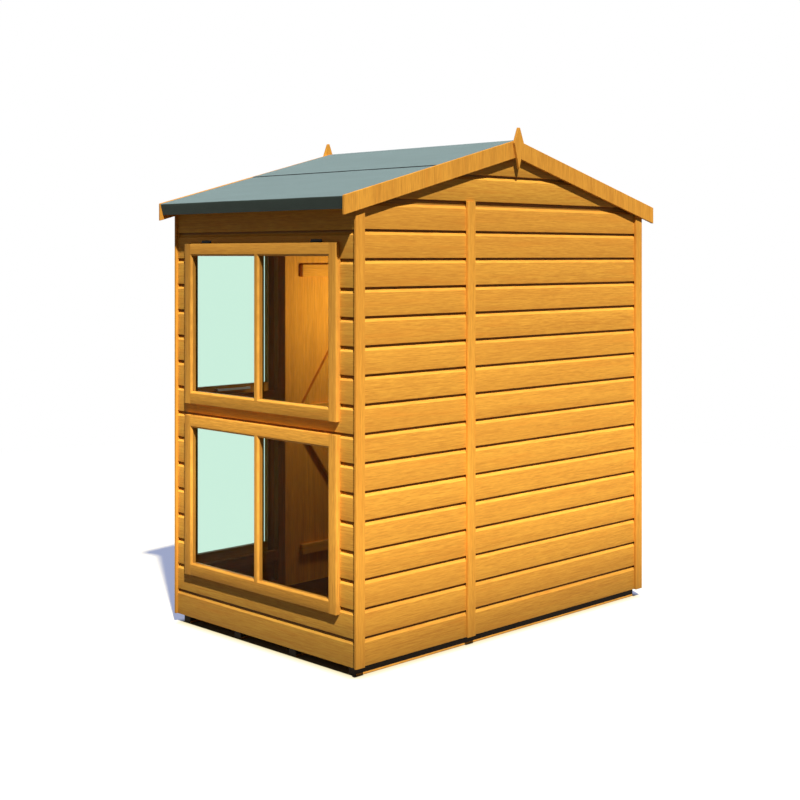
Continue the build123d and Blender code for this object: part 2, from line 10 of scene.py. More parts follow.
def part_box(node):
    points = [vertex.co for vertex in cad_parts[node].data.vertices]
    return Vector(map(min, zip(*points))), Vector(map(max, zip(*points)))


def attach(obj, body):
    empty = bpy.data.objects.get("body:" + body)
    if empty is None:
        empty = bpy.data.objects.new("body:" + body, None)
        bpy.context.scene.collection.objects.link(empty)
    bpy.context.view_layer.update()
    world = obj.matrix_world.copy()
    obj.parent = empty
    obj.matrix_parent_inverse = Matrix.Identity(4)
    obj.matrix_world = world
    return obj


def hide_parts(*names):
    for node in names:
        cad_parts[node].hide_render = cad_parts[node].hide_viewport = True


bl_info = {
    "name": "Apex garden shed",
    "version": (1, 0, 0),
    "blender": (4, 5, 0),
    "location": "View3D > Sidebar > Shed",
    "description": "Dresses the shed's fixed frame with boards, joinery, felt and ironwork",
    "category": "Object",
}

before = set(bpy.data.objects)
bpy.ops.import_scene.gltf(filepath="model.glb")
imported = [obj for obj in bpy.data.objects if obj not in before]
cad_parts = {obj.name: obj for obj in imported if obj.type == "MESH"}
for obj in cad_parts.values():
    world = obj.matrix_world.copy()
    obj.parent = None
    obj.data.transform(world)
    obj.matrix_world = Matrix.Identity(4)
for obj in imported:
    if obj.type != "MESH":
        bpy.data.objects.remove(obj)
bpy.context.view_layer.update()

MM = 0.001
SHED = "shed"
DOOR = "door"
BLACK = (0, 0, 0, 1)
WHITE = (1, 1, 1, 1)
SIDES = (("right", 1), ("left", -1))
ENDS = (("back", 1), ("front", -1))
LIT_INSIDE = (
    "door_tongue_boards",
    "door_ledges_and_braces",
    "front_right_windows",
    "front_left_windows",
    "window_stay_bars",
)

# Faces that meet at more than SHARP have a sharp or bevelled edge, and at less than FLAT they are one face
SHARP = math.radians(30)
FLAT = math.radians(1)
SAME_POINT = 0.02 * MM
SLACK = 1e-6

# Small gaps and roundings, and the share of its rounding by which a timber's end draws in
SAWN_EASE = 0.6 * MM
END_DRAW = 0.8
TONGUE_GAP = 0.15 * MM
RAIL_SET_BACK = 0.2 * MM
EAVES_GAP = 3 * MM
LAP_LINE = 4 * MM
# Depth of the painted shade at the bearers' ends
PAINTED_END_SHADE = 2 * MM

# Points of a rounded edge, of a board's lower arris and of the chamfer by the glass, as shares of their width
ROUNDED = 0.3
ARRIS = np.array([0, 0.15, 0.45, 1])
CHAMFER = (0.35, 0.45)

# From which share of its depth a groove is painted with shade, how dark that painted shade is in a bare
# groove and on the sides by the glass, how much of it wood and felt take, and its near-black tone at the
# felt's lap
DEEP = 0.8
GROOVE_SHADE = 0.6
EDGE_SHADE = 0.6
SIDE_SHADE = 0.7
JOINT_SHADE = 0.8
LAP_SHADE = 0.95
LAP_SHADE_TONE = (0.004, 0.004, 0.004, 1)

# Points along the curves
HOLLOW_POINTS = 8
FELT_POINTS = 30
BEND_POINTS = 7
SKIRT_POINTS = 5
RIDGE_POINTS = 23
RIDGE_SECTIONS = 61

# The height at which painted light makes the wood palest, how fast it darkens above that, how dark it gets at
# the ground, and the height of the bearers' foot, above which they are painted with shade
PAINTED_LIGHT_PEAK = 0.65
DARKER_ABOVE = 0.23
DARKER_BELOW = 0.6
BEARER_FOOT = 9 * MM


# Measures read from the frame
def low(node):
    return np.array(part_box(node)[0])


def high(node):
    return np.array(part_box(node)[1])


WALL_X = high("right_wall_boards")[0]
WALL_Y = high("back_wall_wide_boards")[1]
WALL_THICKNESS = WALL_X - low("right_wall_boards")[0]
BOARDS_FOOT = low("right_wall_boards")[2]
INNER_X = WALL_X - WALL_THICKNESS
PLATE = high("back_wall_wide_boards")[2]
EAVES = high("right_wall_boards")[2]
GABLE_Y = high("back_gable_boards")[1]
RIDGE_UNDER = high("back_gable_boards")[2]
EAVES_X = high("back_bargeboards")[0]
# Where the painted shade on the bearers' ends starts
BEARER_END = high("bearers")[0] - PAINTED_END_SHADE


def linear(screen):
    """A screen value, 0 to 255, as the linear value that shaders take."""
    share = screen / 255
    return share / 12.92 if screen <= 10 else ((share + 0.055) / 1.055) ** 2.4


def size(label, text, millimetres):
    return FloatProperty(name=label, description=text, default=millimetres * MM, unit="LENGTH", precision=4)


def angle(label, text, degrees):
    return FloatProperty(name=label, description=text, default=math.radians(degrees), subtype="ANGLE")


def number(label, text, value):
    return FloatProperty(name=label, description=text, default=value)


def place(label, text, default, subtype="TRANSLATION"):
    return FloatVectorProperty(name=label, description=text, default=default, subtype=subtype)


def colour(label, text, *screen):
    tone = tuple(map(linear, screen))
    return FloatVectorProperty(name=label, description=text, default=tone, subtype="COLOR", min=0, max=1)


# Sizes and colours that a user would change
class ShedBoards(bpy.types.PropertyGroup):
    pitch: size("Cover", "Height of wall that one shiplap board covers", 112)
    flat: size("Flat", "Height of a board's flat face", 90.5)
    hollow: size("Hollow", "Height of the hollow above the flat", 16.5)
    sink: size("Groove depth", "Depth of the groove plane behind the face", 9)
    arris: size("Arris", "Rounding of a board's lower edge", 1.6)
    gable_line: size("Gable wall line", "Height of one joint between boards on the end walls", 150.5)
    side_line: size("Side wall line", "Height of one joint between boards on the side walls", 148)
    rebate: size("Rebate", "Height of the bare groove under each gable's boards", 16)
    door_boards: IntProperty(name="Door boards", description="Upright boards in the door", default=7, min=3)
    door_vee: size("Door joint", "Width of the chamfer at each edge of a door board", 3)
    floor_board: size("Floor board", "Width of a floor board", 95)
    roof_board: size("Roof board", "Width of a roof board along the slope", 94)
    joint: size("Joint", "Gap between floor boards or roof boards", 0.8)


class ShedJoinery(bpy.types.PropertyGroup):
    moulding: size("Moulding", "Width of the chamfer round the glass", 8)
    side_stile: size("Side stile", "Width of the uprights of a side window", 50)
    front_stile: size("Front stile", "Width of the uprights of a front window", 41)
    rail: size("Rail", "Height of a window's top and bottom members", 53)
    bar: size("Glazing bar", "Width of the bar in a side window", 32)
    ease: size("Ease", "Rounding of the outer edges of the windows", 2)
    clearance: size("Clearance", "Gap between a window and the boards", 1)
    timber_ease: size("Timber ease", "Rounding of the edges of framing and trim", 1.5)


class ShedRoof(bpy.types.PropertyGroup):
    pitch: angle("Pitch", "Slope of the roof", 14.92)
    felt: size("Felt", "Thickness of the felt", 2.5)
    deck: size("Roof boards", "Thickness of the roof boards", 10)
    skirt: size("Skirt", "Height of the felt that is folded down at the eaves", 50)
    bend: size("Bend", "Radius of the felt where it turns down at the eaves", 4)
    ripple: size("Ripple", "Height of the felt's ripples", 0.8)


class ShedColours(bpy.types.PropertyGroup):
    gable: colour("Gable", "Boards of the gable triangles", 253, 172, 65)
    end_wall: colour("End walls", "Boards of the end walls", 248, 168, 63)
    side_wall: colour("Side walls", "Boards of the side walls", 255, 177, 70)
    trim: colour("Trim", "Cover strips, bargeboards and finials", 243, 165, 61)
    sash: colour("Windows", "Window frames", 243, 168, 65)
    door: colour("Door", "Door boards", 238, 160, 55)
    framing: colour("Framing", "Framing and bearers", 214, 148, 62)
    inside: colour("Roof boards", "Boards under the felt", 206, 142, 62)
    # The floor boards' tone is darker than the other timber's, as painted shade
    floor: colour("Floor boards", "Boards of the floor", 136, 86, 36)
    # The bearers above their foot and at their ends are painted in this colour as shade
    painted_shade: colour("Damp", "Bearers above their foot, where they stay damp", 30, 20, 10)
    felt: colour("Felt", "Mineral face of the felt", 109, 128, 129)
    # The felt where it turns down at the eaves is painted in this darker colour as shade
    felt_turned_shade: colour("Felt edge", "Felt on the eaves", 57, 68, 62)
    glass: colour("Glass", "What the glass lets through", 241, 251, 246)
    iron: colour("Iron", "Black ironwork", 15, 14, 13)
    steel: colour("Steel", "Bright ironwork", 214, 215, 214)


class ShedStage(bpy.types.PropertyGroup):
    camera: place("Camera", "Place of the camera", (4.4805, 4.4345, 1.615))
    bearing: angle("Bearing", "Turn of the camera about Z", 135.4)
    lens: number("Lens", "Focal length on a 36 mm sensor", 61.9)
    shift: number("Shift", "Rise of the lens, as a share of the picture", -0.1802)
    sun: number("Sun", "Strength of the main lamp", 6.3)
    sun_from: place("Sun from", "Direction towards the main lamp", (0.43, 0.70, 1.0), "DIRECTION")
    softness: angle("Softness", "Width of the main lamp", 1.5)
    sky: number("Sky", "Strength of the light from all round", 0.065)
    inner_lamp: number("Inner lamp", "Power of the lamp that lights the door's back", 11.5)
    inner_place: place("Inner lamp place", "Place of that lamp", (-0.05, -0.13, 1.40))
    floor_tone: colour("Floor tone", "Colour of the floor as it lights the shed", 80, 75, 68)
    floor_size: size("Floor size", "Half the width of the floor", 40000)


# Closed shells from profiles
def enclosed(points, quads, ends):
    """Six times the volume inside a shell: the sum of the tetrahedra from one point to each face."""
    first, second, third, fourth = np.moveaxis(points[quads] - points[0], 1, 0)
    total = np.sum(first * (np.cross(second, third) + np.cross(third, fourth)))
    for end in ends:
        fan = points[end] - points[0]
        total += np.sum(np.cross(fan[1:-1], fan[2:]) @ fan[0])
    return total


class Shells:
    """The closed shells of one piece. Each keeps a number for its tint and grain, 1 where its grain is
    upright, and at each point the share of painted shade it takes, such as from how deep it lies in a joint
    between boards."""

    def __init__(self, name):
        self.name = name
        self.random = np.random.default_rng(sum(name.encode()))
        self.points = []
        self.faces = []
        self.tints = []
        self.uprights = []
        self.joints = []
        self.count = 0

    def add(self, rings, upright=0.0, tint=None, joint=None):
        """Joins neighbouring rows of points by quads and closes both ends, so that row by row the rings
        are one profile carried along a path."""
        rings = np.asarray(rings, float)
        places, around = rings.shape[:2]
        index = np.arange(places * around).reshape(places, around)
        turned = np.roll(index, -1, axis=1)
        quads = np.stack([index[:-1], turned[:-1], turned[1:], index[1:]], axis=-1).reshape(-1, 4)
        ends = [index[0][::-1], index[-1]]
        points = rings.reshape(-1, 3)
        if enclosed(points, quads, ends) < 0:
            quads = quads[:, ::-1]
            ends = [end[::-1] for end in ends]
        faces = [*quads, *ends]
        self.faces += [(face + self.count).tolist() for face in faces]
        self.points.append(points)
        self.tints.append(np.full(len(points), self.random.random() if tint is None else tint))
        self.uprights.append(np.full(len(points), upright))
        self.joints.append(np.zeros(len(points)) if joint is None else np.tile(joint, places))
        self.count += len(points)

    def piece(self, finish, body, slot, *nodes):
        """The shells as one mesh object."""
        mesh = bpy.data.meshes.new(self.name)
        mesh.from_pydata(np.concatenate(self.points), [], self.faces)
        write_numbers(mesh, *(np.concatenate(one) for one in (self.tints, self.uprights, self.joints)))
        mesh.polygons.foreach_set("use_smooth", np.ones(len(mesh.polygons), bool))
        mesh.set_sharp_from_angle(angle=SHARP)
        return settle(mesh, self.name, finish, body, nodes)


def write_numbers(mesh, tints, uprights, joints):
    """Stores each point's board number, grain direction and share of painted shade, such as in a joint, for
    the materials.
    """
    for name, values in (("board", tints), ("upright", uprights), ("joint", joints)):
        stored = mesh.attributes.new(name, "FLOAT", "POINT")
        stored.data.foreach_set("value", np.asarray(values, np.float32))


def in_scene(name, data):
    """A new object in the scene, at the origin."""
    made = bpy.data.objects.new(name, data)
    bpy.context.scene.collection.objects.link(made)
    return made


def settle(mesh, name, finish, body, nodes):
    """The mesh as an object that rides on a body and stands for CAD nodes."""
    mesh.materials.append(finish)
    mesh.update()
    made = in_scene(name, mesh)
    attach(made, body)
    if nodes:
        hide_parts(*nodes)
    return made


def counter_clockwise(outline):
    """The outline in the order that keeps its inside on the left."""
    outline = np.asarray(outline, float)
    ahead = np.roll(outline, -1, axis=0)
    area = np.sum(outline[:, 0] * ahead[:, 1] - ahead[:, 0] * outline[:, 1])
    return outline if area > 0 else outline[::-1]


def unit(vectors):
    return vectors / np.linalg.norm(vectors, axis=1)[:, None]


def eased(outline, ease):
    """Each corner of an outline becomes two points, a distance along each of its edges."""
    before = unit(np.roll(outline, 1, axis=0) - outline)
    after = unit(np.roll(outline, -1, axis=0) - outline)
    return np.stack([outline + ease * before, outline + ease * after], axis=1).reshape(-1, 2)


def inset(outline, distance):
    """The outline moved inwards: each point goes along the sum of its two edges' normals,
    divided by one plus their dot product, which keeps every edge parallel."""
    ahead = unit(np.roll(outline, -1, axis=0) - outline)
    normal = np.stack([ahead[:, 1], -ahead[:, 0]], axis=1)
    previous = np.roll(normal, 1, axis=0)
    spread = 1 + np.sum(normal * previous, axis=1)
    return outline - distance * (normal + previous) / spread[:, None]


def laid(outline, along, axis):
    """Outline points at one place along an axis: the outline holds the two other axes in X, Y, Z order."""
    points = np.empty((len(outline), 3))
    others = [index for index in range(3) if index != axis]
    points[:, others] = outline
    points[:, axis] = along
    return points


def prism(outline, span, axis, ease):
    """An outline carried straight along an axis, with eased corners and ends that draw in by the ease."""
    body = eased(counter_clockwise(outline), ease)
    end = inset(body, ease * END_DRAW)
    start, stop = span
    places = ((end, start), (body, start + ease), (body, stop - ease), (end, stop))
    return np.stack([laid(shape, along, axis) for shape, along in places])


def bar(lowest, highest, ease):
    """A straight piece of timber between two corners, its grain along its longest side."""
    lowest, highest = np.asarray(lowest, float), np.asarray(highest, float)
    axis = int(np.argmax(highest - lowest))
    others = [index for index in range(3) if index != axis]
    (left, bottom), (right, top) = lowest[others], highest[others]
    outline = [(left, bottom), (right, bottom), (right, top), (left, top)]
    return prism(outline, (lowest[axis], highest[axis]), axis, ease)


# Solids and copies of CAD nodes
def islands(point_count, edges):
    """A label for each point, the same for all that edges join: each sinks to its neighbours' lowest."""
    label = np.arange(point_count)
    while True:
        before = label.copy()
        np.minimum.at(label, edges[:, 0], label[edges[:, 1]])
        np.minimum.at(label, edges[:, 1], label[edges[:, 0]])
        if np.array_equal(before, label):
            return label


def merged_copy(node):
    """A CAD node's mesh with its loose triangles joined into whole faces."""
    work = bmesh.new()
    work.from_mesh(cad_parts[node].data)
    bmesh.ops.remove_doubles(work, verts=work.verts, dist=SAME_POINT)
    bmesh.ops.dissolve_limit(work, angle_limit=FLAT, verts=work.verts, edges=work.edges)
    mesh = bpy.data.meshes.new(node)
    work.to_mesh(mesh)
    work.free()
    return mesh


def labelled(mesh):
    """The points of a mesh and the label of each one's solid."""
    points = np.empty(len(mesh.vertices) * 3, np.float32)
    mesh.vertices.foreach_get("co", points)
    edges = np.empty(len(mesh.edges) * 2, np.int32)
    mesh.edges.foreach_get("vertices", edges)
    return points.reshape(-1, 3), islands(len(mesh.vertices), edges.reshape(-1, 2))


def solids_of(node):
    """The lowest and highest corner of each solid of a CAD node."""
    mesh = merged_copy(node)
    points, label = labelled(mesh)
    bpy.data.meshes.remove(mesh)
    return [(points[label == one].min(0), points[label == one].max(0)) for one in np.unique(label)]


def eased_copy(node, name, finish, body, ease, upright=None):
    """The CAD node's own form with its edges eased by a bevel. Each solid has its tint, and its grain along
    its longest side or, where upright is given, in that direction."""
    mesh = merged_copy(node)
    mesh.name = name
    points, label = labelled(mesh)
    random = np.random.default_rng(sum(name.encode()))
    tints = np.zeros(len(points))
    uprights = np.zeros(len(points))
    for one in np.unique(label):
        own = label == one
        extent = np.ptp(points[own], axis=0)
        tints[own] = random.random()
        uprights[own] = float(np.argmax(extent) == 2) if upright is None else upright
    write_numbers(mesh, tints, uprights, np.zeros(len(points)))
    made = settle(mesh, name, finish, body, [node])
    bevel = made.modifiers.new("ease", "BEVEL")
    bevel.width = ease
    bevel.segments = 2
    bevel.limit_method = "ANGLE"
    bevel.angle_limit = SHARP
    return made


# Materials
class Value:
    """A socket of a material. Arithmetic with it adds Math nodes."""

    def __init__(self, sheet, socket):
        self.sheet = sheet
        self.socket = socket

    def math(self, operation, *terms, clamp=False):
        settings = {"operation": operation, "use_clamp": clamp}
        return self.sheet.add("ShaderNodeMath", settings, dict(enumerate(terms))).out(0)

    def __add__(self, other):
        return self.math("ADD", self, other)

    def __radd__(self, other):
        return self.math("ADD", other, self)

    def __sub__(self, other):
        return self.math("SUBTRACT", self, other)

    def __rsub__(self, other):
        return self.math("SUBTRACT", other, self)

    def __mul__(self, other):
        return self.math("MULTIPLY", self, other)

    def __rmul__(self, other):
        return self.math("MULTIPLY", other, self)

    def __truediv__(self, other):
        return self.math("DIVIDE", self, other)

    def __pow__(self, other):
        return self.math("POWER", self, other)

    def __abs__(self):
        return self.math("ABSOLUTE", self)

    def clamp(self):
        return self.math("MULTIPLY", self, 1.0, clamp=True)

    def above(self, edge, width):
        """0 below an edge and 1 past it, with a ramp of a width."""
        return ((self - edge) / width).clamp()


class Node:
    """A node of a material. Its outputs are Values."""

    def __init__(self, sheet, node):
        self.sheet = sheet
        self.node = node

    def out(self, which):
        return Value(self.sheet, self.node.outputs[which])


class Sheet:
    """The node tree of a material or of the world."""

    def __init__(self, owner):
        self.owner = owner
        owner.use_nodes = True
        self.tree = owner.node_tree
        self.tree.nodes.clear()

    def add(self, kind, settings=None, sockets=None):
        """One node: its settings are set first, then each socket gets a value or a link."""
        node = self.tree.nodes.new(kind)
        for name, value in (settings or {}).items():
            setattr(node, name, value)
        for which, value in (sockets or {}).items():
            if isinstance(value, Value):
                self.tree.links.new(value.socket, node.inputs[which])
            else:
                node.inputs[which].default_value = value
        return Node(self, node)

    def result(self, kind, sockets):
        """The first output of a node."""
        return self.add(kind, None, sockets).out(0)

    def point(self):
        return self.add("ShaderNodeTexCoord").out("Object")

    def parts(self, vector):
        """The three numbers of a vector."""
        parts = self.add("ShaderNodeSeparateXYZ", None, {0: vector})
        return [parts.out(index) for index in range(3)]

    def number(self, name):
        return self.add("ShaderNodeAttribute", {"attribute_name": name}).out("Fac")

    def vector(self, x, y, z):
        return self.result("ShaderNodeCombineXYZ", {0: x, 1: y, 2: z})

    def noise(self, point, scale, detail, roughness):
        sockets = {"Vector": point, "Scale": scale, "Detail": detail, "Roughness": roughness}
        return self.result("ShaderNodeTexNoise", sockets)

    def mix(self, share, first, second):
        """Two colours mixed by a share."""
        settings = {"data_type": "RGBA", "clamp_factor": True}
        return self.add("ShaderNodeMix", settings, {0: share, 6: first, 7: second}).out(2)

    def bump(self, height, distance, strength=1.0):
        return self.result("ShaderNodeBump", {"Height": height, "Distance": distance, "Strength": strength})

    def surface(self, sockets):
        """A Principled shader as the material's surface."""
        return self.show(self.result("ShaderNodeBsdfPrincipled", sockets))

    def blend(self, share, first, second):
        """Two shaders mixed by a share."""
        return self.result("ShaderNodeMixShader", {0: share, 1: first, 2: second})

    def show(self, shader, kind="ShaderNodeOutputMaterial"):
        self.add(kind, None, {"Surface": shader})
        return self.owner


def new_sheet(name):
    return Sheet(bpy.data.materials.new(name))


def shade(tone, factor, warmth=0.0):
    """A colour made lighter or darker, and with warmth redder, with its alpha of 1."""
    red, green, blue = tone
    scaled = (red * factor * (1 + warmth), green * factor, blue * factor * (1 - warmth))
    return tuple(min(1.0, value) for value in (*scaled, 1.0))


# Kinds of grain: repeats a metre along and across a board, detail and roughness of the noise, and weight
STREAK = (4.5, 190, 3.0, 0.7, 2.025)
FIBRE = (20, 430, 2.0, 0.6, 2.16)
BAND = (0.9, 26, 2.0, 0.5, 0.945)
BOARD_SHIFT = 13.7

# Repeats a metre of the slow noise that reddens wood, and of the worn patches of felt
FLUSH_ALONG = 2.6
FLUSH_ACROSS = 34
PATCH_ALONG = 3
PATCH_ACROSS = 14

# Scale, detail and roughness of the noise in felt and metal
GRIT = (900.0, 2.0, 0.7)
SPOTS = (260.0, 3.0, 0.6)
BROAD = (18.0, 2.0, 0.5)

# Where the ramps of the colours start, and how wide they are
REDDER_FROM = (0.54, 0.2)
DARK_GRIT = (0.42, 0.2)
PALE_GRIT = (0.38, 0.3)
WORN_FROM = (0.35, 0.3)
UPWARD = (0.35, 0.4)
MOTTLED_FROM = (0.4, 0.3)

# Tones of wood as shares of its colour, each with its shift to red, the last the painted shade in joints
PALE_GRAIN = (1.22, 0)
DARK_GRAIN = (0.74, 0.02)
RED_GRAIN = (0.86, 0.12)
DARK_BOARD = (0.9, 0)
JOINT_SHADE_TONE = (0.06, 0.3)

# Share of gloss on glass seen straight on and along its face, and the power with which it rises between them
GLOSS_LEAST = 0.0005
GLOSS_MOST = 0.9
GLOSS_POWER = 6


def wood(name, tone, roughness=0.6, painted_falloff=0.0, foot=None):
    """Planed softwood, its grain along each board: fine streaks, hair-thin fibre and broad slow bands, each a
    noise drawn out along the grain, with a redder tone where another slow noise is high. With a painted
    falloff, painted light makes the wood palest at one height, falling off evenly above it and with the
    square of the distance below it. With a foot, only what is lower than it has the tone, and the rest, with
    the bearers' ends, is painted shade in that colour. Deep joints take painted shade."""
    sheet = new_sheet(name)
    x, y, z = sheet.parts(sheet.point())
    upright = sheet.number("upright")
    board = sheet.number("board")
    level = x + y
    along = level + (z - level) * upright
    across = z + (level - z) * upright
    shift = board * BOARD_SHIFT
    third = (x - y) * 6 + shift

    def grain(kind, last):
        rate_along, rate_across, detail, rough, _ = kind
        point = sheet.vector(along * rate_along + shift, across * rate_across, last)
        return sheet.noise(point, 1.0, detail, rough)

    def weighed(noise, kind):
        return (noise - 0.5) * kind[-1]

    streak, fibre, band = grain(STREAK, third), grain(FIBRE, third), grain(BAND, shift)
    flush = sheet.noise(sheet.vector(along * FLUSH_ALONG, across * FLUSH_ACROSS, shift + 5), 1.0, 2.0, 0.5)
    darkness = 0.5 + weighed(streak, STREAK) + weighed(fibre, FIBRE) + weighed(band, BAND)
    body = sheet.mix(darkness.clamp(), shade(tone, *PALE_GRAIN), shade(tone, *DARK_GRAIN))
    redder = sheet.mix(flush.above(*REDDER_FROM) * 0.4, body, shade(tone, *RED_GRAIN))
    tinted = sheet.mix(board * 0.3, redder, shade(tone, *DARK_BOARD))
    if painted_falloff:
        # Painted light: palest at one height, darker above it and towards the ground
        above = ((z - PAINTED_LIGHT_PEAK) * DARKER_ABOVE).clamp()
        below = ((PAINTED_LIGHT_PEAK - z) / PAINTED_LIGHT_PEAK).clamp() ** 2 * DARKER_BELOW
        tinted = sheet.mix((above + below) * painted_falloff, tinted, BLACK)
    if foot:
        # Painted shade on the bearers above their foot and at their ends
        height, painted_shade = foot
        bearer_shade_mask = (z.above(height, MM) + abs(x).above(BEARER_END, MM)).clamp()
        tinted = sheet.mix(bearer_shade_mask, tinted, (*painted_shade, 1))
    # The base colour takes painted shade in deep grooves, bare grooves and the rebates by the glass
    return sheet.surface({
        "Base Color": sheet.mix(sheet.number("joint") * JOINT_SHADE, tinted, shade(tone, *JOINT_SHADE_TONE)),
        "Roughness": (roughness + (streak - 0.5) * 0.3).clamp(),
        "Normal": sheet.bump(streak * 0.6 + fibre * 0.4, 0.3 * MM),
        "Specular IOR Level": 0.15,
    })


def felt_finish(name, tone, turned_shade_tone):
    """Mineral felt: coarse grit of several tones, painted darker as shade where it faces down or sideways, as
    where the felt turns down at the eaves, and painted nearly black as shade at the lap of the ridge sheet."""
    sheet = new_sheet(name)
    point = sheet.point()
    x, y, z = sheet.parts(point)
    grit = sheet.noise(point, *GRIT)
    spread = sheet.vector(x * PATCH_ACROSS, y * PATCH_ALONG, z * PATCH_ACROSS)
    patch = sheet.noise(spread, 1.0, 4.0, 0.65)
    up = sheet.parts(sheet.add("ShaderNodeNewGeometry").out("Normal"))[2]
    dark = sheet.mix(grit.above(*DARK_GRIT), shade(turned_shade_tone, 0.7), shade(turned_shade_tone, 1.25))
    pale = sheet.mix(grit.above(*PALE_GRIT), shade(tone, 0.72), shade(tone, 1.16))
    worn = sheet.mix(patch.above(*WORN_FROM) * 0.6, pale, shade(tone, 0.8))
    # Felt that faces down or sideways takes the darker painted shade
    body = sheet.mix(up.above(*UPWARD), dark, worn)
    # The base colour takes painted shade at the lap of the ridge sheet
    return sheet.surface({
        "Base Color": sheet.mix(sheet.number("joint") * LAP_SHADE, body, LAP_SHADE_TONE),
        "Roughness": (grit * 0.2 + 0.75).clamp(),
        "Normal": sheet.bump(grit, 0.8 * MM, 0.8),
        "Specular IOR Level": 0.3,
    })


def glass_finish(name, tone):
    """Clear sheet that tints what shows through it and lets no sun in. The share of its gloss rises with the
    sixth power of the slant at which it is seen."""
    sheet = new_sheet(name)
    clear = sheet.result("ShaderNodeBsdfTransparent", {"Color": (*tone, 1)})
    gloss = sheet.result("ShaderNodeBsdfAnisotropic", {"Color": WHITE, "Roughness": 0.02})
    slant = sheet.add("ShaderNodeLayerWeight", None, {"Blend": 0.5}).out("Facing")
    sheet.owner.use_transparent_shadow = False
    return sheet.show(sheet.blend(slant ** GLOSS_POWER * GLOSS_MOST + GLOSS_LEAST, clear, gloss))


def metal_finish(name, tone, metallic, roughness, mottle):
    """Painted or plated metal with faint mottling, paler in broad patches."""
    sheet = new_sheet(name)
    point = sheet.point()
    spots = sheet.noise(point, *SPOTS)
    broad = sheet.noise(point, *BROAD)
    body = sheet.mix(broad.above(*MOTTLED_FROM) * mottle, (*tone, 1), shade(tone, 1.6))
    return sheet.surface({
        "Base Color": body,
        "Metallic": metallic,
        "Roughness": (spots * 0.25 + (roughness - 0.1)).clamp(),
        "Normal": sheet.bump(spots, 0.12 * MM, 0.6),
        "Specular IOR Level": 0.2,
    })


FINISHES = {}


def finish(name):
    """The material of a name, made at its first use."""
    if name not in FINISHES:
        tones = bpy.context.scene.shed_colours
        makers = {
            # Walls, trim and windows take painted light that falls off above and below one height
            "gable_wood": lambda: wood(name, tones.gable, painted_falloff=1),
            "end_wall_wood": lambda: wood(name, tones.end_wall, painted_falloff=1),
            "side_wall_wood": lambda: wood(name, tones.side_wall, painted_falloff=1.15),
            "strip_wood": lambda: wood(name, tones.trim, painted_falloff=1),
            "sash_wood": lambda: wood(name, tones.sash, painted_falloff=1.6),
            "door_wood": lambda: wood(name, tones.door),
            "floor_wood": lambda: wood(name, tones.floor, roughness=0.75),
            "bearer_wood": lambda: wood(name, tones.framing, roughness=0.7, foot=(BEARER_FOOT, tones.painted_shade)),
            "framing_wood": lambda: wood(name, tones.framing, roughness=0.7),
            "inside_wood": lambda: wood(name, tones.inside, roughness=0.7),
            "mineral_felt": lambda: felt_finish(name, tones.felt, tones.felt_turned_shade),
            "pane": lambda: glass_finish(name, tones.glass),
            "black_iron": lambda: metal_finish(name, tones.iron, 0.0, 0.6, 0.4),
            "bright_steel": lambda: metal_finish(name, tones.steel, 0.5, 0.42, 0.3),
        }
        FINISHES[name] = makers[name]()
    return FINISHES[name]


# Shiplap
def face_depth(height, sizes):
    """Depth behind the face at a height above a board's lower edge: a rounded lower arris, the flat,
    a hollow that follows a quarter of a sine, then the groove plane."""
    near = np.clip(1 - height / sizes.arris, 0, 1)
    arris = sizes.arris * (1 - np.sqrt(1 - near**2))
    hollow = sizes.sink * np.sin(np.pi / 2 * np.clip((height - sizes.flat) / sizes.hollow, 0, 1))
    return arris + hollow


def depth_in_joint(depth, sizes):
    """How much painted shade a point of a board takes: 0 on a board's face and 1 at the bottom of the groove,
    rising over its deepest part, and 0 at the back."""
    share = np.clip((depth / sizes.sink - DEEP) / (1 - DEEP), 0, 1)
    return np.where(depth < WALL_THICKNESS - SLACK, share, 0)


def section(bottom, heights, sizes):
    """One board's outline, depth and height, between two heights on the wall."""
    arris = bottom + sizes.arris * ARRIS
    hollow = bottom + sizes.flat + sizes.hollow * np.linspace(0, 1, HOLLOW_POINTS)
    lowest, highest = heights
    marks = np.concatenate([[lowest, highest], arris, hollow])
    marks = np.unique(np.round(marks[(marks >= lowest) & (marks <= highest)], 7))
    depth = face_depth(marks - bottom, sizes)
    back = [(WALL_THICKNESS, highest), (WALL_THICKNESS, lowest)]
    return np.concatenate([np.stack([depth, marks], axis=1), back])


def free_parts(board, span, openings):
    """What is left of a board's height and length beside, under and over the openings."""
    lowest, highest = board
    crossed = [one for one in openings if one[1][0] < highest and one[1][1] > lowest]
    if not crossed:
        return [(span, board)]
    (left, right), (bottom, top) = crossed[0]
    parts = [((span[0], left), board), ((right, span[1]), board)]
    if bottom > lowest:
        parts += free_parts((lowest, bottom), (left, right), crossed[1:])
    if top < highest:
        parts += free_parts((top, highest), (left, right), crossed[1:])
    return parts


def lengthwise(points, depth, height, ends):
    """A profile of depth and height at each end of a board."""
    return [points(depth, np.full_like(depth, end), height) for end in ends]


def shiplap(shells, points, span, heights, line, openings=()):
    """Boards one above the other. points turns depth, length along the wall and height into points."""
    sizes = bpy.context.scene.shed_boards
    first = line + math.floor((heights[0] - line) / sizes.pitch + SLACK) * sizes.pitch
    for bottom in np.arange(first, heights[1], sizes.pitch):
        board = (max(bottom, heights[0]), min(bottom + sizes.pitch, heights[1]))
        if board[1] - board[0] < MM:
            continue
        tint = shells.random.random()
        for across, part in free_parts(board, span, openings):
            depth, height = section(bottom, part, sizes).T
            rings = lengthwise(points, depth, height, across)
            # The deepest part of each groove is painted with shade
            shells.add(rings, tint=tint, joint=depth_in_joint(depth, sizes))


